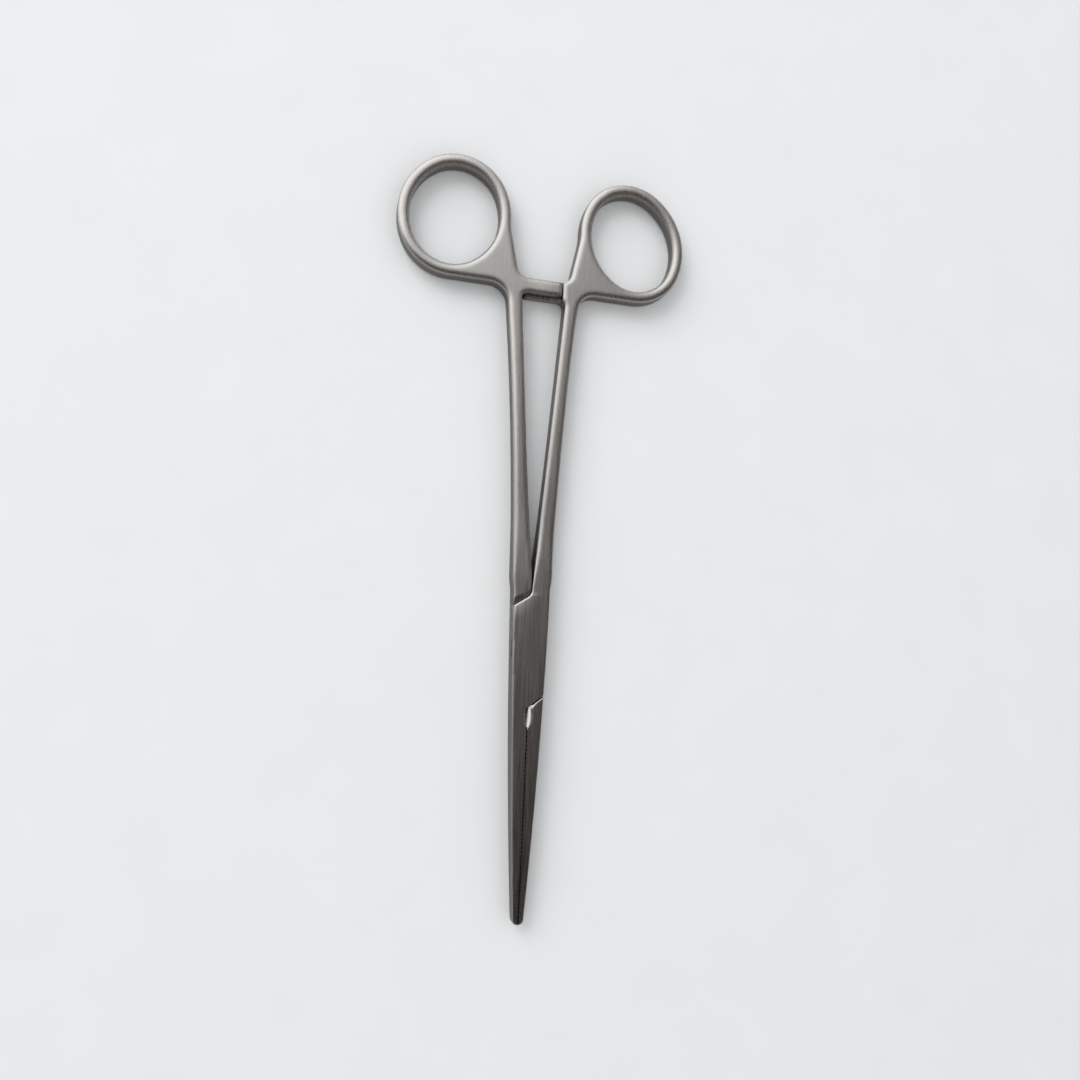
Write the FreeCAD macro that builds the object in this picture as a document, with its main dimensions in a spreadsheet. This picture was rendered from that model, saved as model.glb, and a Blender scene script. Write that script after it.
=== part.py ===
import FreeCAD, Part
import math
import os
import re
import Sketcher

# Hemostat forceps, closed. The origin is on the pivot axis at the underside of the box
# lock, +Y points to the finger rings and +Z up. Each half is drawn about its own
# mid-plane and lifted by half the box thickness.

os.makedirs("parts", exist_ok=True)
doc = FreeCAD.newDocument("hemostat_forceps")
sheet = doc.addObject("Spreadsheet::Sheet", "Sizes")

# Driving dimensions in millimetres and degrees. Y places are counted from the pivot.
SIZES = {
    # reach of the jaws, and the middle of each finger ring
    "jaw_reach": 61.5,
    "ring_across": 22.7,
    "ring_along": 103.15,
    "ring_tilt": 16.4,
    # clear half-axes of the ring's hole, how much tighter than its half-width the ends
    # are rounded, and the width of its band
    "hole_half_width": 10.83,
    "hole_half_length": 12.62,
    "hole_tightening": 1.03,
    "band_width": 2.82,
    # sides of the box lock and jaws, one gentle arc
    "box_half": 4.4,
    "box_end": 13.4,
    "tip_half": 1.28,
    "side_bulge": 0.42,
    "tip_round": 1.15,
    # edges of the shank, half-widths counted from the centre line
    "shank_foot": 17.7,
    "shank_foot_half": 4.85,
    "shank_hollow": 0.78,
    "shank_swell": 0.12,
    # web between the shank and its ring, which leans out by a lean over its height
    "shank_width": 3.7,
    "web_lean": 3.3,
    "web_drop": 0.85,
    "web_round": 4.6,
    "web_inner_round": 14.0,
    # shoulders, where each half enters or leaves the box lock
    "shoulder_side": 10.3,
    "shoulder_mid": 12.88,
    "shoulder_inset": 0.2,
    "shoulder_round": 2.0,
    "shoulder_gap": 0.25,
    # relief between the jaws just below the box lock
    "relief_start": 13.3,
    "relief_start_half": 0.42,
    "relief_end": 17.5,
    "relief_depth": 0.3,
    # ratchet bars, which reach beyond the centre line, placed below the rings' middle
    "bar_drop": 16.75,
    "bar_width": 3.5,
    "bar_step": 0.7,
    "bar_reach": 4.55,
    "bar_gap": 0.3,
    "bar_round": 1.6,
    "bar_top_round": 3.0,
    "catch_count": 4,
    "catch_pitch": 1.3,
    "catch_height": 0.55,
    "catch_play": 0.15,
    # thicknesses
    "box_thickness": 4.6,
    "handle_thickness": 4.0,
    "handle_start": 34.0,
    "tip_thickness": 2.7,
    # rounding of the edges
    "handle_edge": 0.8,
    "foot_edge": 0.5,
    "hole_edge": 0.7,
    "blade_edge": 0.35,
    "bar_edge": 0.25,
    # bevel of the male half's upper shoulder, its width on top and its fall, and the flat
    # at the corner of its lower shoulder, how far it reaches in and how it is turned
    "bevel_width": 1.2,
    "bevel_fall": 0.3,
    "corner_flat": 0.5,
    "corner_turn": 47.0,
    # tongue, slot and pivot pin of the box lock
    "slot_height": 1.9,
    "tongue_play": 0.05,
    "tongue_half": 3.8,
    "slot_play": 0.1,
    "open_angle": 50.0,
    "pin_radius": 1.25,
    "pin_play": 0.03,
    # slit between the jaws, and the teeth of their gripping faces
    "slit": 0.2,
    "tip_slit": 0.06,
    "tip_land": 1.35,
    "tooth_count": 37,
    "tooth_pitch": 0.95,
    "tooth_height": 0.4,
    "tooth_land": 0.12,
    "tooth_play": 0.05,
}
for row, (name, value) in enumerate(SIZES.items(), 1):
    sheet.set(f"A{row}", name)
    sheet.set(f"B{row}", str(value))
    sheet.setAlias(f"B{row}", name)
doc.recompute()

NAMES = re.compile(r"\b(" + "|".join(SIZES) + r")\b")


def bound(formula):
    """A formula of size names as an expression that reads the sheet."""
    return NAMES.sub(r"Sizes.\1", formula)


def worth(formula):
    """The number that a formula of size names comes to."""
    return float(sheet.evalExpression(bound(formula)))


def bind(item, **formulas):
    for name, formula in formulas.items():
        item.setExpression(name, bound(formula))


def new_sketch(body, name, role="XY_Plane"):
    sketch = body.newObject("Sketcher::SketchObject", name)
    plane = next(item for item in body.Origin.OriginFeatures if item.Role == role)
    sketch.AttachmentSupport = [(plane, "")]
    sketch.MapMode = "FlatFace"
    return sketch


def spot(place):
    return FreeCAD.Vector(worth(place[0]), worth(place[1]), 0)


def hold(sketch, geometry, point, place):
    """Holds a point of a sketch where a pair of formulas says."""
    for kind, formula in zip(("DistanceX", "DistanceY"), place):
        constraint = Sketcher.Constraint(kind, geometry, point, worth(formula))
        index = sketch.addConstraint(constraint)
        sketch.setExpression(f"Constraints[{index}]", bound(formula))


def draw(sketch, path):
    """Draws a closed outline. Each item of the path is a point (x, y), with the bulge of
    the arc that leads on from it where it isn't a line, to the left of the way."""
    ends = []
    for item, following in zip(path, path[1:] + path[:1]):
        start, end = spot(item), spot(following)
        if len(item) == 2:
            curve = Part.LineSegment(start, end)
        else:
            left = (end - start).cross(FreeCAD.Vector(0, 0, -1)).normalize()
            curve = Part.Arc(start, (start + end) * 0.5 + left * worth(item[2]), end)
        geometry = sketch.addGeometry(curve)
        forward = (sketch.getPoint(geometry, 1) - start).Length < 0.001
        ends.append((geometry, 1, 2) if forward else (geometry, 2, 1))
        hold(sketch, geometry, ends[-1][1], item)
        if len(item) == 3:
            chord = f"(({item[0]} - ({following[0]}))^2 + ({item[1]} - ({following[1]}))^2)"
            radius = f"abs({chord} / (8 * ({item[2]})) + ({item[2]}) / 2)"
            index = sketch.addConstraint(Sketcher.Constraint("Radius", geometry, worth(radius)))
            sketch.setExpression(f"Constraints[{index}]", bound(radius))
    for (one, _, end), (two, start, _) in zip(ends, ends[1:] + ends[:1]):
        sketch.addConstraint(Sketcher.Constraint("Coincident", one, end, two, start))


def side_half(along):
    """Half-width of box lock and jaws at a place along Y, a formula."""
    part = f"((box_end - ({along})) / (box_end + jaw_reach))"
    return f"(box_half + (tip_half - box_half) * {part} + 4 * side_bulge * {part} * (1 - {part}))"


def side_bulge(start, end):
    """Bulge of the stretch of the side arc between two places along Y."""
    return f"(side_bulge * ((({end}) - ({start})) / (box_end + jaw_reach))^2)"


# The hole of a ring is an oval of four arcs: an end arc about each place END from its
# middle, and side arcs of a larger radius about places SIDE across it.
END_RADIUS = "(hole_half_width - hole_tightening)"
END = f"(hole_half_length - {END_RADIUS})"
SIDE = f"(({END}^2 - hole_tightening^2) / (2 * hole_tightening))"
END_TO_SIDE = f"sqrt({END}^2 + {SIDE}^2)"
TURN = f"atan({END} / {SIDE})"
TILT = "(ring_tilt * 1deg)"


def ring_place(side, across, along):
    """A place given across and along the tilted oval, as a place of the plan."""
    x = f"{side} * (ring_across + ({across}) * cos({TILT}) - ({along}) * sin({TILT}))"
    return x, f"ring_along + ({across}) * sin({TILT}) + ({along}) * cos({TILT})"


def ring_join(side, grow, right, upper):
    """The place where an end arc of the oval, grown by a width, joins a side arc."""
    reach = f"({END_RADIUS} + {grow}) / {END_TO_SIDE}"
    return ring_place(side, f"{right} * {reach} * {SIDE}", f"{upper} * (1 + {reach}) * {END}")


def ring_bulge(side, radius, sweep):
    """Bulge of an arc of the ring's outside, which turns away from the way's left."""
    return f"-{side} * {radius} * (1 - cos(({sweep}) / 2))"


def ring_low(side):
    """The ring's lowest place, on its lower end arc."""
    x, y = ring_place(side, "0", f"-1 * {END}")
    return x, f"{y} - {END_RADIUS} - band_width"


def ring_inner(side):
    """The ring's place nearest to the other ring, on a side arc."""
    x, y = ring_place(side, SIDE, "0")
    return f"{x} - {side} * (hole_half_width + {SIDE} + band_width)", y


def ring_outline(side):
    """The ring's outside from its lowest to its inner place, four arcs in a row."""
    ends, sides = f"({END_RADIUS} + band_width)", f"(hole_half_width + {SIDE} + band_width)"
    return [
        (*ring_low(side), ring_bulge(side, ends, f"90deg + {TILT} - {TURN}")),
        (*ring_join(side, "band_width", 1, -1), ring_bulge(side, sides, f"2 * {TURN}")),
        (*ring_join(side, "band_width", 1, 1), ring_bulge(side, ends, f"180deg - 2 * {TURN}")),
        (*ring_join(side, "band_width", -1, 1), ring_bulge(side, sides, f"{TURN} - {TILT}")),
        ring_inner(side),
    ]


def hole_outline(side):
    """The finger hole, four arcs."""
    sides = f"(hole_half_width + {SIDE})"
    end_bulge = ring_bulge(side, END_RADIUS, f"180deg - 2 * {TURN}")
    side_bulge = ring_bulge(side, sides, f"2 * {TURN}")
    return [
        (*ring_join(side, "0", 1, -1), side_bulge),
        (*ring_join(side, "0", 1, 1), end_bulge),
        (*ring_join(side, "0", -1, 1), side_bulge),
        (*ring_join(side, "0", -1, -1), end_bulge),
    ]


BAR_START = "(ring_along - bar_drop)"
BAR_END = "(ring_along - bar_drop + bar_width)"
WEB_END = "(ring_along - web_drop)"
WEB_FOOT = f"({ring_inner(1)[0]} - web_lean)"


def first_groove(side):
    """Place along Y of the first groove of a jaw. The teeth of the two jaws stand half
    a pitch apart, so that each tooth closes into a groove."""
    male = "jaw_reach - tip_land - tooth_count * tooth_pitch"
    return f"({male})" if side < 0 else f"({male} - tooth_pitch / 2)"


def plan_outline(side):
    """Outline of one half, seen from above: its handle on the given side, the box lock
    and the opposite jaw."""
    gripping = f"{side} * (tooth_height - tooth_play) / 2"
    flare = f"{side} * (shank_foot_half - box_half) / 10"
    grooves_end = f"-1 * ({first_groove(side)} + tooth_count * tooth_pitch)"
    return [
        (f"-{side} * tip_slit / 2", "-jaw_reach"),
        (f"-{side} * tip_slit / 2", grooves_end),
        (gripping, grooves_end),
        (gripping, f"-1 * {first_groove(side)}"),
        (f"-{side} * slit / 2", f"-1 * {first_groove(side)}"),
        (f"-{side} * slit / 2", "-relief_end", f"{side} * relief_depth"),
        (f"-{side} * relief_start_half", "-relief_start"),
        (f"{side} * {side_half('-shoulder_side')}", "-shoulder_side",
         f"-{side} * {side_bulge('-shoulder_side', 'box_end')}"),
        (f"{side} * box_half", "box_end", flare),
        (f"{side} * (box_half + shank_foot_half) / 2", "(box_end + shank_foot) / 2", f"-1 * {flare}"),
        (f"{side} * shank_foot_half", "shank_foot", f"{side} * shank_hollow"),
        (f"{side} * ({WEB_FOOT} + shank_width)", ring_low(side)[1]),
        *ring_outline(side),
        (ring_inner(side)[0], WEB_END),
        (f"{side} * {web_half(BAR_END)}", BAR_END),
        (f"-{side} * bar_reach", BAR_END),
        (f"-{side} * bar_reach", bar_start(side)),
        (f"{side} * {WEB_FOOT}", bar_start(side), f"{side} * shank_swell"),
        (f"-{side} * shoulder_inset", "shoulder_mid"),
        (f"-{side} * {side_half('shoulder_side')}", "shoulder_side",
         f"-{side} * {side_bulge('-jaw_reach', 'shoulder_side')}"),
        (f"-{side} * tip_half", "-jaw_reach"),
    ]


def bar_start(side):
    """The lower bar, on the right half, stands a step nearer to the pivot."""
    return f"({BAR_START} - bar_step)" if side > 0 else BAR_START


def web_half(along):
    """Half-width of the web's inner edge, which leans from the shank out to the ring."""
    return f"({WEB_FOOT} + web_lean * ({along} - {BAR_START}) / ({WEB_END} - {BAR_START}))"


def profile_path(above):
    """Outline of what is cleared off one face of a half, seen from the side: the taper
    of the jaw, the level box lock, and the fall to the level handle in two equal arcs."""
    box, handle = f"{above} * box_thickness / 2", f"{above} * handle_thickness / 2"
    fall = f"({above} * (box_thickness - handle_thickness) / 16)"
    beyond, clear = "ring_along + 2 * hole_half_length", f"{above} * box_thickness"
    return [
        ("-jaw_reach", f"{above} * tip_thickness / 2", f"{above} * (box_thickness - tip_thickness) / 8"),
        ("-box_end", box),
        ("box_end", box, fall),
        ("(box_end + handle_start) / 2", f"({box} + {handle}) / 2", f"-1 * {fall}"),
        ("handle_start", handle),
        (beyond, handle),
        (beyond, clear),
        ("-jaw_reach", clear),
    ]


def pick(shape, choose):
    return [f"Edge{number}" for number, edge in enumerate(shape.Edges, 1) if choose(edge)]


def round_edges(body, name, radius, choose):
    """Rounds the edges of the body's last feature that the test chooses."""
    base = body.Tip
    fillet = body.newObject("PartDesign::Fillet", name)
    fillet.Base = (base, pick(base.Shape, choose))
    bind(fillet, Radius=radius)
    doc.recompute()
    return fillet


def bevel(body, name, width, fall, choose):
    """Cuts a flat along the chosen edges, of a width on the level face and a fall."""
    base = body.Tip
    flat = body.newObject("PartDesign::Chamfer", name)
    flat.Base = (base, pick(base.Shape, choose))
    flat.ChamferType = "Two distances"
    bind(flat, Size=width, Size2=fall)
    doc.recompute()


def upright_at(place):
    """Test for the upright edge at a place of the plan."""
    foot = spot(place)

    def test(edge):
        ends = [vertex.Point for vertex in edge.Vertexes]
        return len(ends) == 2 and all(math.hypot(p.x - foot.x, p.y - foot.y) < 0.02 for p in ends)

    return test


def pocket(body, name, sketch, length, sides="Symmetric", reverse=False):
    """Cuts a sketch out of the body, and makes sure that it took something away."""
    before = body.Shape.Volume
    cut = body.newObject("PartDesign::Pocket", name)
    cut.Profile = sketch
    cut.SideType = sides
    cut.Reversed = reverse
    bind(cut, Length=length)
    doc.recompute()
    if not cut.Shape.Volume < before:
        raise ValueError(f"{name} cuts nothing")
    return cut


def make_blank(side, name):
    """One forged half before its edges are rounded and its box lock is cut."""
    body = doc.addObject("PartDesign::Body", name)
    plan = new_sketch(body, f"{name}_plan")
    draw(plan, plan_outline(side))
    pad = body.newObject("PartDesign::Pad", f"{name}_pad")
    pad.Profile = plan
    pad.SideType = "Symmetric"
    bind(pad, Length="1.2 * box_thickness")
    doc.recompute()
    corners = {
        "web_corner": (f"{side} * ({WEB_FOOT} + shank_width)", ring_low(side)[1], "web_round"),
        "web_bend": (ring_inner(side)[0], WEB_END, "web_inner_round"),
        "bar_top": (f"{side} * {web_half(BAR_END)}", BAR_END, "bar_top_round"),
        "bar_foot": (f"{side} * {WEB_FOOT}", bar_start(side), "bar_round"),
        "shoulder": (f"-{side} * shoulder_inset", "shoulder_mid", "shoulder_round"),
        "tip": (f"-{side} * tip_half", "-jaw_reach", "tip_round"),
    }
    for corner, (across, along, radius) in corners.items():
        round_edges(body, f"{name}_{corner}", radius, upright_at((across, along)))
    for above, word in ((1, "top"), (-1, "underside")):
        profile = new_sketch(body, f"{name}_{word}", "YZ_Plane")
        draw(profile, profile_path(above))
        pocket(body, f"{name}_{word}_cut", profile, "6 * ring_across")
    return body


def edge_radius(point):
    """Rounding of the outline: full on the handle, finer towards the box lock, fine on
    the box lock and jaws and on the ratchet bar."""
    on_bar = worth(BAR_START) - 3 < point.y < worth(BAR_END) + 1
    if on_bar and abs(point.x) < worth(WEB_FOOT) - 0.1:
        return worth("bar_edge")
    steps = (
        ("-jaw_reach", "blade_edge"),
        ("box_end", "blade_edge"),
        ("shank_foot", "foot_edge"),
        ("handle_start", "handle_edge"),
        ("2 * ring_along", "handle_edge"),
    )
    for (start, low), (end, high) in zip(steps, steps[1:]):
        if point.y <= worth(end):
            part = max(0, (point.y - worth(start)) / (worth(end) - worth(start)))
            return worth(low) + (worth(high) - worth(low)) * part
    return worth("handle_edge")


def round_outline(body, side, name):
    """Rounds the outline of a blank along its top and underside, but for the faces
    between the jaws."""
    shape = body.Shape
    chosen = []
    for number, edge in enumerate(shape.Edges, 1):
        first, last = edge.ParameterRange
        middle = edge.valueAt((first + last) / 2)
        lean = []
        for face in shape.ancestorsOfType(edge, Part.Face):
            lean.append(abs(face.normalAt(*face.Surface.parameter(middle)).z))
        inward = middle.x * side > -worth("relief_start_half") - 0.05
        between_jaws = inward and middle.y < -worth("relief_start")
        if min(lean) < 0.1 and max(lean) > 0.9 and not between_jaws:
            ends = edge.valueAt(first), edge.valueAt(last)
            chosen.append((number, edge_radius(ends[0]), edge_radius(ends[1])))
    rounded = doc.addObject("Part::Fillet", name)
    rounded.Base = body
    rounded.Edges = chosen
    doc.recompute()
    return rounded


def take_up(rounded, name):
    """A body that goes on from a rounded blank."""
    body = doc.addObject("PartDesign::Body", name)
    body.BaseFeature = rounded
    doc.recompute()
    return body


def cut_finger_hole(body, side, name):
    """The oval hole of the ring, its edges broken by a narrow bevel."""
    hole = new_sketch(body, f"{name}_hole")
    draw(hole, hole_outline(side))
    pocket(body, f"{name}_hole_cut", hole, "2 * box_thickness")
    middle = FreeCAD.Vector(side * worth("ring_across"), worth("ring_along"), 0)
    reach, level = worth("hole_half_length + 0.1"), worth("handle_thickness / 2")

    def on_hole(edge):
        point = edge.valueAt(sum(edge.ParameterRange) / 2)
        near = math.hypot(point.x - middle.x, point.y - middle.y) < reach
        return near and abs(abs(point.z) - level) < 0.01

    bevel(body, f"{name}_hole_bevel", "hole_edge", "hole_edge", on_hole)


def cut_serrations(body, side, name):
    """Cross grooves in the gripping face of a jaw, a row of equal trapezoids."""
    face = f"{side} * (tooth_height - tooth_play) / 2"
    floor = f"{face} - {side} * tooth_height"
    mouth = f"{face} + {side} * tooth_play"
    lean = "(tooth_pitch - 2 * tooth_land) / (2 * tooth_height)"
    mouth_half = f"((tooth_pitch - tooth_land) / 2 + tooth_play * {lean})"
    start = first_groove(side)
    groove = new_sketch(body, f"{name}_groove")
    draw(groove, [
        (mouth, f"-1 * {start} - {mouth_half}"),
        (mouth, f"-1 * {start} + {mouth_half}"),
        (floor, f"-1 * {start} + tooth_land / 2"),
        (floor, f"-1 * {start} - tooth_land / 2"),
    ])
    cut = pocket(body, f"{name}_groove_cut", groove, "2 * box_thickness")
    row = body.newObject("PartDesign::LinearPattern", f"{name}_serrations")
    row.Originals = [cut]
    row.Direction = (groove, ["V_Axis"])
    row.Reversed = True
    bind(row, Length="tooth_count * tooth_pitch")
    bind(row, Occurrences="tooth_count + 1")
    doc.recompute()
    body.Tip = row
    doc.recompute()


def cut_ratchet(body, side, name):
    """Halves the ratchet bar in thickness and cuts its saw teeth, which face the other
    bar. The steep flank of each tooth holds the handles from opening."""
    tip = f"-{side} * catch_play / 2"
    root = f"-{side} * (catch_play / 2 + catch_height)"
    clear = f"{side} * box_thickness"
    beyond, step = f"-{side} * (bar_reach + bar_round)", f"{side} * (bar_reach + bar_gap)"
    path = [(beyond, clear), (beyond, tip)]
    for number in range(int(worth("catch_count"))):
        foot = f"{side} * ({number} - catch_count / 2) * catch_pitch"
        crest = f"{side} * ({number + 1} - catch_count / 2) * catch_pitch"
        path += [(foot, tip)] if number == 0 else []
        path += [(foot, root), (crest, tip)]
    path += [(step, tip), (step, clear)]
    teeth = new_sketch(body, f"{name}_ratchet_teeth", "XZ_Plane")
    bind(teeth, **{"AttachmentOffset.Base.z": f"-1 * ({BAR_START} + {BAR_END} - bar_step) / 2"})
    draw(teeth, path)
    pocket(body, f"{name}_ratchet_cut", teeth, "bar_width + bar_step + bar_round + bar_top_round")


def cut_slot(body):
    """The slot between the cheeks of the female half, open to both sides so that the
    tongue swings in it up to its stop walls."""
    reach = "(tongue_half + slot_play)"
    rise = f"sqrt({reach}^2 - shoulder_inset^2)"
    turn = "open_angle * 1deg"
    swing = f"(90deg - {turn} + asin(shoulder_inset / {reach}))"
    bulge = f"({reach} * (1 - cos({swing} / 2)))"
    far = "2 * box_half"
    half = [
        ("-shoulder_inset", "relief_end"),
        ("-shoulder_inset", rise, bulge),
        (f"{reach} * cos({turn})", f"{reach} * sin({turn})"),
        (f"{reach} * cos({turn}) + {far} * sin({turn})", f"{reach} * sin({turn}) - {far} * cos({turn})"),
        (f"{reach} * cos({turn}) + {far} * sin({turn})", "-relief_end"),
    ]
    image = [(f"-1 * ({item[0]})", f"-1 * ({item[1]})", *item[2:]) for item in half]
    slot = new_sketch(body, "slot")
    draw(slot, half + image)
    pocket(body, "slot_cut", slot, "slot_height")


def cut_tongue(body):
    """Leaves the tongue of the male half, which passes through the slot from the upper
    left to the lower right."""
    inset = "(shoulder_inset + slot_play)"
    wide = "2 * box_half"
    rise = f"sqrt(tongue_half^2 - {inset}^2)"
    bulge = f"(tongue_half * (1 - cos((90deg + asin({inset} / tongue_half)) / 2)))"
    turn = "open_angle * 1deg"
    wall = f"({side_half('0')} - (tongue_half + slot_play) * cos({turn})) / sin({turn})"
    neck = f"({wall} + 3 * slot_play)"

    def flank(sign, end):
        return [
            (f"-{sign} * {inset}", f"{sign} * {rise}", bulge),
            (f"{sign} * tongue_half", "0"),
            (f"{sign} * tongue_half", f"-{sign} * {neck}"),
            (f"{sign} * {wide}", f"-{sign} * {neck}"),
            (f"{sign} * {wide}", f"{sign} * {end}"),
            (f"-{sign} * {inset}", f"{sign} * {end}"),
        ]

    upper_end, lower_end = "(2 * shoulder_mid)", "(relief_start + shoulder_gap)"
    for sign, word, end in ((1, "upper", upper_end), (-1, "lower", lower_end)):
        side_cut = new_sketch(body, f"tongue_{word}_side")
        draw(side_cut, flank(sign, end))
        pocket(body, f"tongue_{word}_side_cut", side_cut, "2 * box_thickness")
    for above, word in ((1, "top"), (-1, "underside")):
        window = new_sketch(body, f"tongue_{word}")
        bind(window, **{"AttachmentOffset.Base.z": f"{above} * (slot_height / 2 - tongue_play)"})
        draw(window, window_path())
        pocket(body, f"tongue_{word}_cut", window, "box_thickness", "One side", above > 0)


def shoulder_line(above, x):
    """Height along Y of the male half's shoulder at a place across, a gap away from the
    female half's."""
    if above > 0:
        start = f"-1 * {side_half('shoulder_side')}", "shoulder_side"
        end = "-shoulder_inset", "shoulder_mid"
    else:
        start = side_half("-shoulder_side"), "-shoulder_side"
        end = "-relief_start_half", "-relief_start"
    slope = f"((({end[1]}) - ({start[1]})) / (({end[0]}) - ({start[0]})))"
    lift = f"({above} * shoulder_gap * sqrt(1 + {slope}^2))"
    return f"(({start[1]}) + {slope} * (({x}) - ({start[0]})) + {lift})"


def window_path():
    """Outline of the cheeks as the male half clears them above and below its tongue."""
    wide, corner = "2 * box_half", "-1 * (shoulder_inset + shoulder_gap)"
    edge = "-1 * (shoulder_inset + slot_play)"
    low = "-relief_start_half"
    return [
        (f"-1 * {wide}", shoulder_line(1, f"-1 * {wide}")),
        (f"-1 * {wide}", shoulder_line(-1, low)),
        (low, shoulder_line(-1, low)),
        (wide, shoulder_line(-1, wide)),
        (wide, "shoulder_mid + 3"),
        (edge, "shoulder_mid + 3"),
        (corner, shoulder_line(1, corner)),
    ]


def cut_flat(body, name, turn, start, width, fall):
    """A sloping flat along a line of the plan, on both faces of a half. The line lies
    square to a direction, turned from +X, at a distance from the pivot; there the flat
    is as deep as its fall, and it runs out at a width beyond."""
    for above, word in ((1, "top"), (-1, "underside")):
        face = f"{above} * box_thickness / 2"
        wedge = new_sketch(body, f"{name}_{word}", "XZ_Plane")
        upright = FreeCAD.Rotation(FreeCAD.Vector(0, 1, 0), 1)
        wedge.AttachmentOffset = FreeCAD.Placement(FreeCAD.Vector(), upright)
        bind(wedge, **{"AttachmentOffset.Rotation.Angle": turn})
        draw(wedge, [
            (f"{start} - {width}", f"{face} - {above} * 2 * {fall}"),
            (f"{start} + {width}", face),
            (f"{start} + {width}", f"{face} + {above} * {fall}"),
            (f"{start} - {width}", f"{face} + {above} * {fall}"),
        ])
        pocket(body, f"{name}_{word}_cut", wedge, "4 * box_half")


def cut_bevels(body):
    """The bevel of the upper shoulder and the corner flat of the lower one."""
    run = f"(({side_half('shoulder_side')}) - shoulder_inset)"
    slope = f"((shoulder_mid - shoulder_side) / {run})"
    distance = f"({shoulder_line(1, '0')} / sqrt(1 + {slope}^2))"
    cut_flat(body, "shoulder_bevel", f"90deg + atan({slope})", distance, "bevel_width", "bevel_fall")
    turn = "(corner_turn * 1deg)"
    low = shoulder_line(-1, "relief_start_half")
    distance = f"(relief_start_half * sin({turn}) - {low} * cos({turn}))"
    cut_flat(body, "corner_flat", f"{turn} - 90deg", distance, "corner_flat", "corner_flat")


def cut_hole(body, radius, name):
    circle = new_sketch(body, name)
    index = circle.addGeometry(Part.Circle(FreeCAD.Vector(), FreeCAD.Vector(0, 0, 1), worth(radius)))
    circle.addConstraint(Sketcher.Constraint("Coincident", index, 3, -1, 1))
    bore = circle.addConstraint(Sketcher.Constraint("Radius", index, worth(radius)))
    circle.setExpression(f"Constraints[{bore}]", bound(radius))
    pocket(body, f"{name}_cut", circle, "2 * box_thickness")


made = {}
for side, name in ((1, "female"), (-1, "male")):
    blank = make_blank(side, f"{name}_blank")
    rounded = round_outline(blank, side, f"{name}_rounded")
    half = take_up(rounded, f"{name}_half")
    cut_ratchet(half, side, name)
    cut_finger_hole(half, side, name)
    if side > 0:
        cut_slot(half)
        cut_hole(half, "pin_radius", "pin_seat")
    else:
        cut_tongue(half)
        cut_hole(half, "pin_radius + pin_play", "pin_bore")
        round_edges(half, "tongue_corner", "shoulder_round - shoulder_gap",
                    upright_at(("-1 * (shoulder_inset + shoulder_gap)",
                                shoulder_line(1, "-1 * (shoulder_inset + shoulder_gap)"))))
        cut_bevels(half)
    cut_serrations(half, side, name)
    made[f"{name}_half"] = half

pin = doc.addObject("Part::Cylinder", "pivot_pin")
bind(pin, Radius="pin_radius", Height="box_thickness")
made["pivot_pin"] = pin
for name in ("female_half", "male_half"):
    bind(made[name], **{"Placement.Base.z": "box_thickness / 2"})
doc.recompute()

for item in doc.Objects:
    if "Invalid" in item.State or "Error" in item.State:
        raise ValueError(f"{item.Label} has an error")
for name, item in made.items():
    shape = item.Shape
    if shape.isNull() or not shape.isValid() or len(shape.Solids) != 1:
        raise ValueError(f"{name} isn't one valid solid")
    shape.exportStep(f"parts/{name}.step")
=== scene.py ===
# %% [markdown]
# A straight hemostat lies closed on a pale sheet. The solids come packed from the part's
# source as a fixed frame, so this lesson only dresses them: a smooth skin for each solid,
# a brushed steel, a floor, soft studio light and the camera.

# %% Load the frame
import math

import bmesh
import bpy
from mathutils import Matrix, Vector


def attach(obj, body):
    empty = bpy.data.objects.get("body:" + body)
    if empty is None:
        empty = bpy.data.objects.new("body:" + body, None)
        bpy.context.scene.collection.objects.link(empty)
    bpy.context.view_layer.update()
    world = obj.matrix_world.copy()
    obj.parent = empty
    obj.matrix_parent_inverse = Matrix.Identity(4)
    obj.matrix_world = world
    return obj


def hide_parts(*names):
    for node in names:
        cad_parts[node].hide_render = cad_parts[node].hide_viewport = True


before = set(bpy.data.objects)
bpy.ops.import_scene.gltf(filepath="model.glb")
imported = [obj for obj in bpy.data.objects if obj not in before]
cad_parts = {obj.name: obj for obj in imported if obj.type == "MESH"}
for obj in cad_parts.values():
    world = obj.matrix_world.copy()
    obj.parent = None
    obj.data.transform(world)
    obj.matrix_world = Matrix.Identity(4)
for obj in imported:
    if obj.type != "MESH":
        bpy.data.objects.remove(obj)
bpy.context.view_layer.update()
MM = 0.001
print("nodes:", sorted(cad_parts))

# %% [markdown]
# The photograph is taken from above and a little to the left, close to the object, so
# the left ring looks larger than the right one. The camera stands 5 cm to the left of
# the box lock and 20 cm up, and leans to the right and a little towards the rings. Its
# place and turn were fitted to the outline. Its own axes are given, which point to the
# right of the picture and back towards the eye. Lens and sensor are in millimetres, as
# Blender has them.

# %% Camera
LENS, SENSOR = 28.13, 36.0
CAMERA_AT = Vector((-49.9, 3.76, 195.8)) * MM
CAMERA_RIGHT = Vector((0.964, 0.0402, 0.2628))
CAMERA_BACK = Vector((-0.2571, -0.1113, 0.96))

camera_data = bpy.data.cameras.new("camera")
camera_data.lens = LENS
camera_data.sensor_width = SENSOR
camera = bpy.data.objects.new("camera", camera_data)
bpy.context.scene.collection.objects.link(camera)
back = CAMERA_BACK.normalized()
up = back.cross(CAMERA_RIGHT.normalized()).normalized()
turn = Matrix((up.cross(back), up, back)).transposed().to_4x4()
camera.matrix_world = Matrix.Translation(CAMERA_AT) @ turn
bpy.context.scene.camera = camera
print("camera at", [round(v, 4) for v in camera.location])

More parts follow.
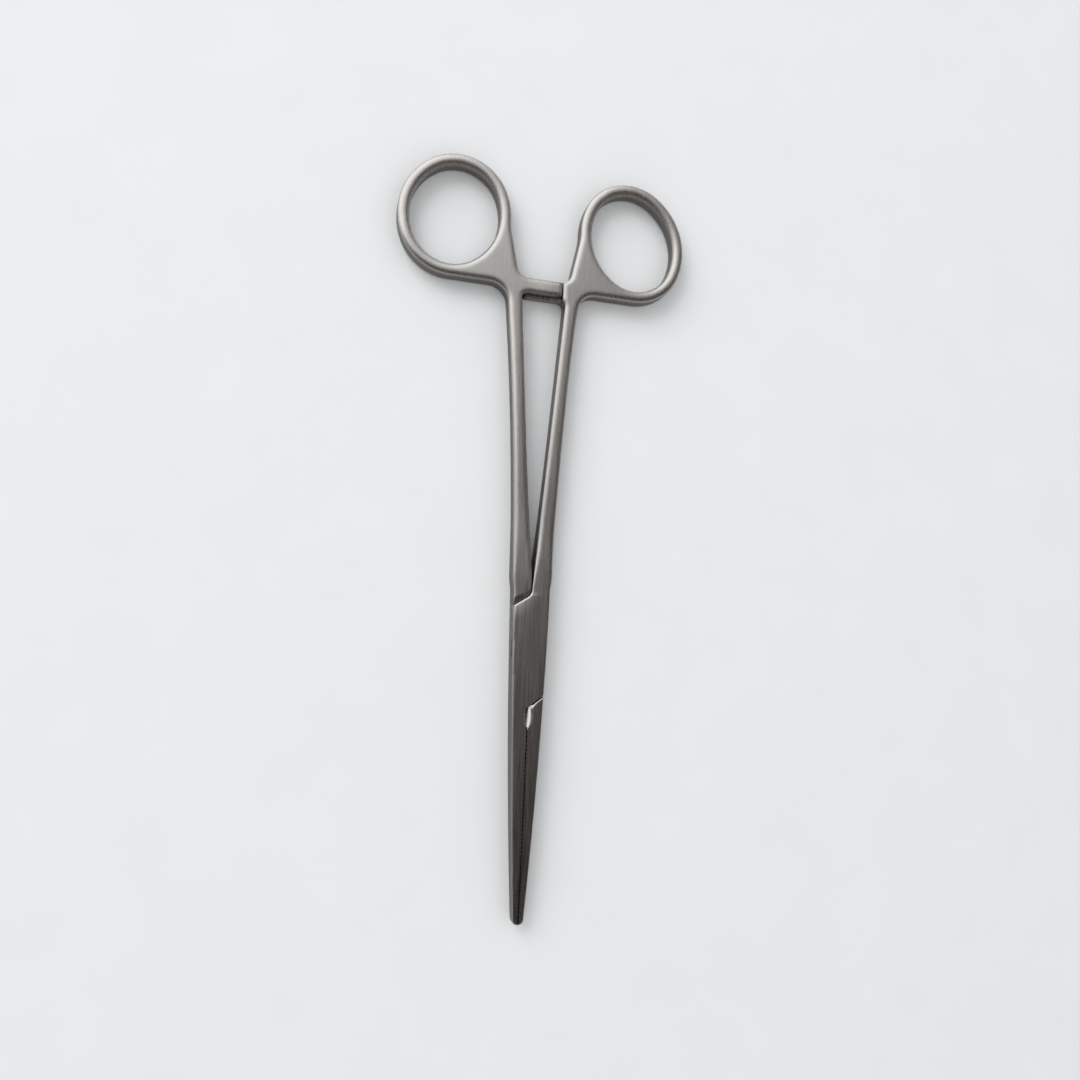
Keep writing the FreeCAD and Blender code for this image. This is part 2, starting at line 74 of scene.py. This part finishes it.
# %% [markdown]
# Every material is a small tree of nodes. One function turns a hex colour as painters
# write it into the linear light that the shader works in, and one adds a node with its
# settings and links. Two more start a material and measure from a spot on the object.

# %% Helpers for materials
def linear(code):
    """sRGB hex to linear: c / 12.92 below 0.04045, else ((c + 0.055) / 1.055) ** 2.4."""
    parts = [int(code[i:i + 2], 16) / 255 for i in (1, 3, 5)]
    return [c / 12.92 if c < 0.04045 else ((c + 0.055) / 1.055) ** 2.4 for c in parts] + [1.0]


def add(tree, kind, *inputs, settings=(), **named):
    """Adds a node; "Math ADD" is a Math node set to ADD. What goes in is given in the order
    of the open sockets, or by a socket's name, as a value, an output or a node, which
    stands for its first open output."""
    kind, _, operation = kind.partition(" ")
    node = tree.nodes.new("ShaderNode" + kind)
    if operation:
        node.operation = operation
    for name, value in dict(settings).items():
        setattr(node, name, value)
    sockets = [socket for socket in node.inputs if socket.enabled]
    pairs = list(zip(sockets, inputs))
    for name, value in named.items():
        pairs.append((next(s for s in sockets if s.name == name.replace("_", " ")), value))
    for socket, value in pairs:
        if isinstance(value, bpy.types.Node):
            value = next(output for output in value.outputs if output.enabled)
        if isinstance(value, bpy.types.NodeSocket):
            tree.links.new(value, socket)
        else:
            socket.default_value = value
    return node


def new_material(name):
    material = bpy.data.materials.new(name)
    material.use_nodes = True
    material.node_tree.nodes.clear()
    return material, material.node_tree


def distance(tree, place, spot):
    """Distance in the plan from a spot."""
    away = add(tree, "VectorMath SUBTRACT", place, spot)
    flat = add(tree, "VectorMath MULTIPLY", away, (1, 1, 0))
    return add(tree, "VectorMath LENGTH", flat)


EASED = {"interpolation_type": "SMOOTHSTEP"}
BLEND_NORMALS = {"data_type": "VECTOR"}
BLEND_COLOURS = {"data_type": "RGBA"}

# %% [markdown]
# Every edge of the real steel is eased by grinding. The hand that ground the handles
# rolled their edges over until the top is nearly a crown, while the box lock and jaws
# kept crisp edges. The solids have the first rounding. The rest could be modelled too,
# with many more faces; here a Bevel node turns the mirrored light and leaves the outline
# as it is. The rivet is ground flush and the teeth are too close together for it, so both
# are left out.

# %% Eased edges
CRISP_EDGE, ROLLED_EDGE = 0.4 * MM, 1.8 * MM
CRISP_TO, ROLLED_FROM = 10 * MM, 30 * MM
RELIEF_AT, RELIEF_EDGE = (0.1 * MM, -14.9 * MM, 0.0), 1.2 * MM
RELIEF_CORE, RELIEF_END, WALL_END = 1.5 * MM, 2.9 * MM, 2.6 * MM
FACES_LEFT = -0.5
DISHED_WALL = (-0.40, 0.25, 0.88)
RIVET_AT, RIVET_ZONE = (0, 0, 0), 2.1 * MM
TEETH_FROM, TEETH_HALF = -17.5 * MM, 0.65 * MM
BEVEL_RAYS = 8


def between_teeth(tree, place):
    """1 on the gripping teeth, which lie within a narrow strip about the middle."""
    parts = add(tree, "SeparateXYZ", place).outputs
    narrow = add(tree, "Math LESS_THAN", add(tree, "Math ABSOLUTE", parts["X"]), TEETH_HALF)
    return add(tree, "Math MULTIPLY", narrow, add(tree, "Math LESS_THAN", parts["Y"], TEETH_FROM))


def rolled_normal(tree, place, teeth):
    """Normal of the surface with its edges eased: 0.4 mm on the box lock and jaws, 1.2 mm
    at the relief between them, and up to 1.8 mm along the handle. The right wall of the
    relief, which faces left, is dished and turns its polish upwards."""
    along = add(tree, "SeparateXYZ", place).outputs["Y"]
    radius = add(tree, "MapRange", along, CRISP_TO, ROLLED_FROM, CRISP_EDGE, ROLLED_EDGE,
                 settings=EASED)
    relief = add(tree, "MapRange", distance(tree, place, RELIEF_AT), RELIEF_CORE, RELIEF_END,
                 RELIEF_EDGE - CRISP_EDGE, 0.0, settings=EASED)
    eased = add(tree, "Bevel", add(tree, "Math ADD", radius, relief),
                settings={"samples": BEVEL_RAYS})
    off_pin = add(tree, "Math GREATER_THAN", distance(tree, place, RIVET_AT), RIVET_ZONE)
    free = add(tree, "Math MULTIPLY", off_pin, add(tree, "Math SUBTRACT", 1.0, teeth))
    true = add(tree, "NewGeometry").outputs["Normal"]
    normal = add(tree, "Mix", free, true, eased, settings=BLEND_NORMALS)
    leftward = add(tree, "Math LESS_THAN", add(tree, "SeparateXYZ", true).outputs["X"], FACES_LEFT)
    near = add(tree, "Math LESS_THAN", distance(tree, place, RELIEF_AT), WALL_END)
    dished = add(tree, "Math MULTIPLY", leftward, near)
    return add(tree, "Mix", dished, normal, DISHED_WALL, settings=BLEND_NORMALS)


print("edges eased by", CRISP_EDGE / MM, "to", ROLLED_EDGE / MM, "mm")

# %% [markdown]
# The cheek of the box lock is ground off where it ends under the upper shoulder. That is
# a hollow of two tenths of a millimetre, too shallow for the outline to show, so a bump
# stands for it. It reaches back from the shoulder's line, which is given in the plan by
# the direction square to it and its distance from the rivet.

# %% Hollow under the upper shoulder
SHOULDER_SQUARE, SHOULDER_AT = (-0.5225, 0.8526, 0.0), 11.09 * MM
RUN_OUT, RUN_OUT_DEPTH = 3.2 * MM, 0.2 * MM
HOLLOW_FROM, HOLLOW_TO = -4.5 * MM, 2.5 * MM


def run_out(tree, place):
    """Height of the ground hollow: -depth * (1 - d / width)^2 at a distance d short of
    the shoulder's line, fading from the left flank to the right half of the box lock."""
    reach = add(tree, "VectorMath DOT_PRODUCT", place, SHOULDER_SQUARE)
    share = add(tree, "MapRange", reach, SHOULDER_AT - RUN_OUT, SHOULDER_AT)
    across = add(tree, "SeparateXYZ", place).outputs["X"]
    fade = add(tree, "MapRange", across, HOLLOW_FROM, HOLLOW_TO, -RUN_OUT_DEPTH, 0.0,
               settings=EASED)
    return add(tree, "Math MULTIPLY", add(tree, "Math POWER", share, 2.0), fade)


print("hollow", round(RUN_OUT_DEPTH / MM, 2), "mm deep")

# %% [markdown]
# The teeth of the jaws are in the solids. Closed, they meet in a seam and in short gaps
# across it, where light goes in and doesn't come out. The gaps are a few hundredths of a
# millimetre, finer than a pixel, so the steel is darkened there over a wider strip.

# %% Light lost between the teeth
TOOTH_PITCH = 0.95 * MM
TICK_HALF, TICK_OVER, TICK_DARK = 0.42 * MM, 0.3, 0.35
SEAM_HALF, SEAM_DARK = 0.12 * MM, 0.8


def closed_teeth(tree, place):
    """How much light is lost between the closed teeth: 0.8 in the seam, and 0.35 in ticks
    across it, where sin(2 pi y / pitch) > 0.3."""
    parts = add(tree, "SeparateXYZ", place).outputs
    across = add(tree, "Math ABSOLUTE", parts["X"])
    turns = add(tree, "Math MULTIPLY", parts["Y"], 2 * math.pi / TOOTH_PITCH)
    in_tick = add(tree, "Math GREATER_THAN", add(tree, "Math SINE", turns), TICK_OVER)
    tick = add(tree, "Math MULTIPLY", in_tick, add(tree, "Math LESS_THAN", across, TICK_HALF))
    seam = add(tree, "Math LESS_THAN", across, SEAM_HALF)
    lost = add(tree, "Math MAXIMUM", add(tree, "Math MULTIPLY", tick, TICK_DARK),
               add(tree, "Math MULTIPLY", seam, SEAM_DARK))
    return add(tree, "Math MULTIPLY", lost, add(tree, "Math LESS_THAN", parts["Y"], TEETH_FROM))


print("teeth", TOOTH_PITCH / MM, "mm apart")

# %% [markdown]
# Stainless steel of this kind is satin: after polishing, a fine belt draws short lines
# along the blades and shanks, which blur what is mirrored across them and leave it
# sharper along them. The lines on the real thing are a few hundredths of a millimetre
# apart; here the widest are 0.24 mm apart, so that they show at this distance, and the
# noise goes down to an eighth of that. They are weaker on the rings. The flanks are
# rougher, and their colour is a darker grey that is painted shade for the upright sides.

# %% Brushed stainless steel
LINE_ACROSS, LINE_ALONG, LINE_DEPTH = 0.24 * MM, 18.0 * MM, 0.02 * MM
LINE_OCTAVES, LINE_DETAIL = 3.0, 0.6
LINE_LOW, LINE_HIGH = 0.3, 0.7
LINE_STRONG, LINE_WEAK = 0.15, 0.04
STRONG_TO, WEAK_FROM = 78 * MM, 92 * MM
CLOUD_ACROSS, CLOUD_ALONG, CLOUD_OCTAVES = 20 / 7 * MM, 100 / 9 * MM, 3.0
GROUND_DARK, GROUND_PALE = "#B4B1AE", "#CDCBC8"
FLANK_SHADE_GREY, LOST_LIGHT = "#6E6B69", "#141211"
FLANK_UP_TO, TOP_FROM = 0.1, 0.7
ROUGH_SMOOTH, ROUGH_COARSE, ROUGH_CLOUD, ROUGH_FLANK = 0.2, 0.3, 0.06, 0.12
STRETCHED_GLOSS = 0.4


def brushed_steel():
    material, tree = new_material("stainless_steel_satin_brushed")
    place = add(tree, "TexCoord").outputs["Object"]
    lines_at = add(tree, "Mapping", place, Scale=(1 / LINE_ACROSS, 1 / LINE_ALONG, 1 / LINE_ACROSS))
    lines = add(tree, "TexNoise", lines_at, Scale=1.0, Detail=LINE_OCTAVES, Roughness=LINE_DETAIL)
    cloud_at = add(tree, "Mapping", place,
                   Scale=(1 / CLOUD_ACROSS, 1 / CLOUD_ALONG, 1 / CLOUD_ACROSS))
    cloud = add(tree, "TexNoise", cloud_at, Scale=1.0, Detail=CLOUD_OCTAVES)
    rolled = rolled_normal(tree, place, between_teeth(tree, place))
    upright = add(tree, "Math ABSOLUTE", add(tree, "SeparateXYZ", rolled).outputs["Z"])
    top = add(tree, "MapRange", upright, FLANK_UP_TO, TOP_FROM, 0.0, 1.0, settings=EASED)

    ground = add(tree, "Mix", lines, linear(GROUND_DARK), linear(GROUND_PALE),
                 settings=BLEND_COLOURS)
    # Painted shade: where the eased normal turns to the side, the flanks get the darker grey.
    tone = add(tree, "Mix", top, linear(FLANK_SHADE_GREY), ground, settings=BLEND_COLOURS)
    tone = add(tree, "Mix", closed_teeth(tree, place), tone, linear(LOST_LIGHT),
               settings=BLEND_COLOURS)

    fine = add(tree, "MapRange", lines, LINE_LOW, LINE_HIGH, ROUGH_SMOOTH, ROUGH_COARSE,
               settings=EASED)
    rough = add(tree, "Math ADD", add(tree, "Math MULTIPLY", cloud, ROUGH_CLOUD), fine)
    flank = add(tree, "MapRange", top, 0.0, 1.0, ROUGH_FLANK, 0.0, settings=EASED)
    rough = add(tree, "Math ADD", flank, rough)

    hollow = add(tree, "Bump", Height=run_out(tree, place), Strength=1.0, Distance=1.0,
                 Normal=rolled)
    along = add(tree, "SeparateXYZ", place).outputs["Y"]
    strength = add(tree, "MapRange", along, STRONG_TO, WEAK_FROM, LINE_STRONG, LINE_WEAK,
                   settings=EASED)
    brush = add(tree, "Bump", Height=lines, Strength=strength, Distance=LINE_DEPTH, Normal=hollow)
    tangent = add(tree, "Tangent", settings={"direction_type": "RADIAL", "axis": "Y"})
    steel = add(tree, "BsdfPrincipled", Base_Color=tone, Metallic=1.0, Roughness=rough,
                Normal=brush, Tangent=tangent, Anisotropic=STRETCHED_GLOSS)
    add(tree, "OutputMaterial", Surface=steel)
    return material


steel = brushed_steel()
print(steel.name, len(steel.node_tree.nodes), "nodes")

# %% [markdown]
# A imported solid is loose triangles, shaded flat. Its copy is merged and shaded smooth up
# to the sharp corners, with the wide faces leading, so that a rounded edge looks round.

# %% Smooth skins of the forgings
WELD = 0.0005 * MM
SHARP_FROM = math.radians(32)
CARRIER = {"female_half": "female_side", "male_half": "male_side", "pivot_pin": "female_side"}

for node, body in CARRIER.items():
    skin = bpy.data.objects.new(f"{node}_skin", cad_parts[node].data.copy())
    bpy.context.scene.collection.objects.link(skin)
    work = bmesh.new()
    work.from_mesh(skin.data)
    bmesh.ops.remove_doubles(work, verts=work.verts, dist=WELD)
    for face in work.faces:
        face.smooth = True
    for edge in work.edges:
        edge.smooth = not (edge.is_manifold and edge.calc_face_angle(0) > SHARP_FROM)
    work.to_mesh(skin.data)
    work.free()
    skin.data.materials.clear()
    skin.data.materials.append(steel)
    skin.modifiers.new("wide faces lead", "WEIGHTED_NORMAL").keep_sharp = True
    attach(skin, body)
    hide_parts(node)
    print(node, len(skin.data.polygons), "faces")

# %% [markdown]
# The floor is a pale, faintly cool matt sheet, larger than any view of the object. Its
# mottle, some 17 mm wide, is so faint that it only keeps the sheet from looking flat.

# %% Floor
FLOOR_HALF = 6.0
MOTTLE, MOTTLE_OCTAVES = 50 / 3 * MM, 4.0
PAPER_DARK, PAPER_PALE, PAPER_ROUGH = "#E2E4E5", "#E7E9EA", 0.9


def pale_sheet():
    material, tree = new_material("matt_paper_pale")
    place = add(tree, "TexCoord").outputs["Object"]
    mottle = add(tree, "TexNoise", place, Scale=1 / MOTTLE, Detail=MOTTLE_OCTAVES)
    tone = add(tree, "Mix", mottle, linear(PAPER_DARK), linear(PAPER_PALE), settings=BLEND_COLOURS)
    paper = add(tree, "BsdfPrincipled", Base_Color=tone, Roughness=PAPER_ROUGH)
    add(tree, "OutputMaterial", Surface=paper)
    return material


corners = [(x * FLOOR_HALF, y * FLOOR_HALF, 0) for x, y in ((-1, -1), (1, -1), (1, 1), (-1, 1))]
floor_mesh = bpy.data.meshes.new("floor")
floor_mesh.from_pydata(corners, [], [(0, 1, 2, 3)])
floor_mesh.materials.append(pale_sheet())
floor = bpy.data.objects.new("floor", floor_mesh)
bpy.context.scene.collection.objects.link(floor)
print("floor", 2 * FLOOR_HALF, "m wide")

# %% [markdown]
# The light is one large soft window, low beyond the rings on the left, which throws the
# wide faint shadow to the lower right. The steel doesn't mirror it, because its image
# would be far brighter than anything in the photograph.

# %% Window
WINDOW_AT, WINDOW_AIM = Vector((-1.3, 1.35, 1.1)), Vector((0, 0.03, 0))
WINDOW_WIDE, WINDOW_HIGH, WINDOW_WATTS = 1.8, 1.4, 30.0

window_data = bpy.data.lights.new("window", "AREA")
window_data.shape = "RECTANGLE"
window_data.size, window_data.size_y = WINDOW_WIDE, WINDOW_HIGH
window_data.energy = WINDOW_WATTS
window = bpy.data.objects.new("window", window_data)
window.location = WINDOW_AT
window.rotation_euler = (WINDOW_AIM - WINDOW_AT).to_track_quat("-Z", "Y").to_euler()
window.visible_glossy = False
bpy.context.scene.collection.objects.link(window)
print("window", WINDOW_WATTS, "W")

# %% [markdown]
# Most of the sheet's light comes from the pale room all round. What the steel mirrors is
# kept apart from it: a room that glows towards the window and is dim above the jaws, so
# the rings come out pale and the jaws dark, as they do in the photograph. It is a little
# warm where it is dim. The camera itself sees a plain pale backdrop.

# %% Room
TOWARD_WINDOW = (-0.42, 0.70, 0.575)
GLOW_LEAST, GLOW_RISE, GLOW_MOST = 0.0045, 6.8, 1.5
HORIZON_GLOW, HORIZON_FALL = 0.4, 1.5
ROOM_WARM, ROOM_WHITE, BACKDROP = "#FFF0E8", "#FFFFFF", "#E7E9EA"
WARM_TO, WHITE_FROM = 0.2, 0.7
SKY_STRENGTH = 0.76


def mirrored_glow(tree, toward, lean):
    """least * exp(rise * t), 1.5 at most, where t is how far a direction leans towards the
    window, plus 0.4 * (1 - z) ** 1.5 round the horizon, where z is its height."""
    rise = add(tree, "Math EXPONENT", add(tree, "Math MULTIPLY", lean, GLOW_RISE))
    glow = add(tree, "Math MINIMUM", add(tree, "Math MULTIPLY", rise, GLOW_LEAST), GLOW_MOST)
    height = add(tree, "Math MAXIMUM", add(tree, "SeparateXYZ", toward).outputs["Z"], 0.0)
    low = add(tree, "Math POWER", add(tree, "Math SUBTRACT", 1.0, height), HORIZON_FALL)
    return add(tree, "Math ADD", glow, add(tree, "Math MULTIPLY", low, HORIZON_GLOW))


world = bpy.data.worlds.new("room")
world.use_nodes = True
tree = world.node_tree
tree.nodes.clear()
toward = add(tree, "TexCoord").outputs["Generated"]
lean = add(tree, "VectorMath DOT_PRODUCT", toward, TOWARD_WINDOW)
white = add(tree, "MapRange", lean, WARM_TO, WHITE_FROM, 0.0, 1.0, settings=EASED)
hue = add(tree, "Mix", white, linear(ROOM_WARM), linear(ROOM_WHITE), settings=BLEND_COLOURS)
room = add(tree, "Background", Color=hue, Strength=mirrored_glow(tree, toward, lean))
sky = add(tree, "Background", Color=linear(ROOM_WHITE), Strength=SKY_STRENGTH)
backdrop = add(tree, "Background", Color=linear(BACKDROP), Strength=1.0)
ray = add(tree, "LightPath").outputs
unseen = add(tree, "MixShader", ray["Is Glossy Ray"], sky, room)
add(tree, "OutputWorld", Surface=add(tree, "MixShader", ray["Is Camera Ray"], unseen, backdrop))
bpy.context.scene.world = world
bpy.context.scene.view_settings.view_transform = "Standard"
print("room", len(tree.nodes), "nodes")
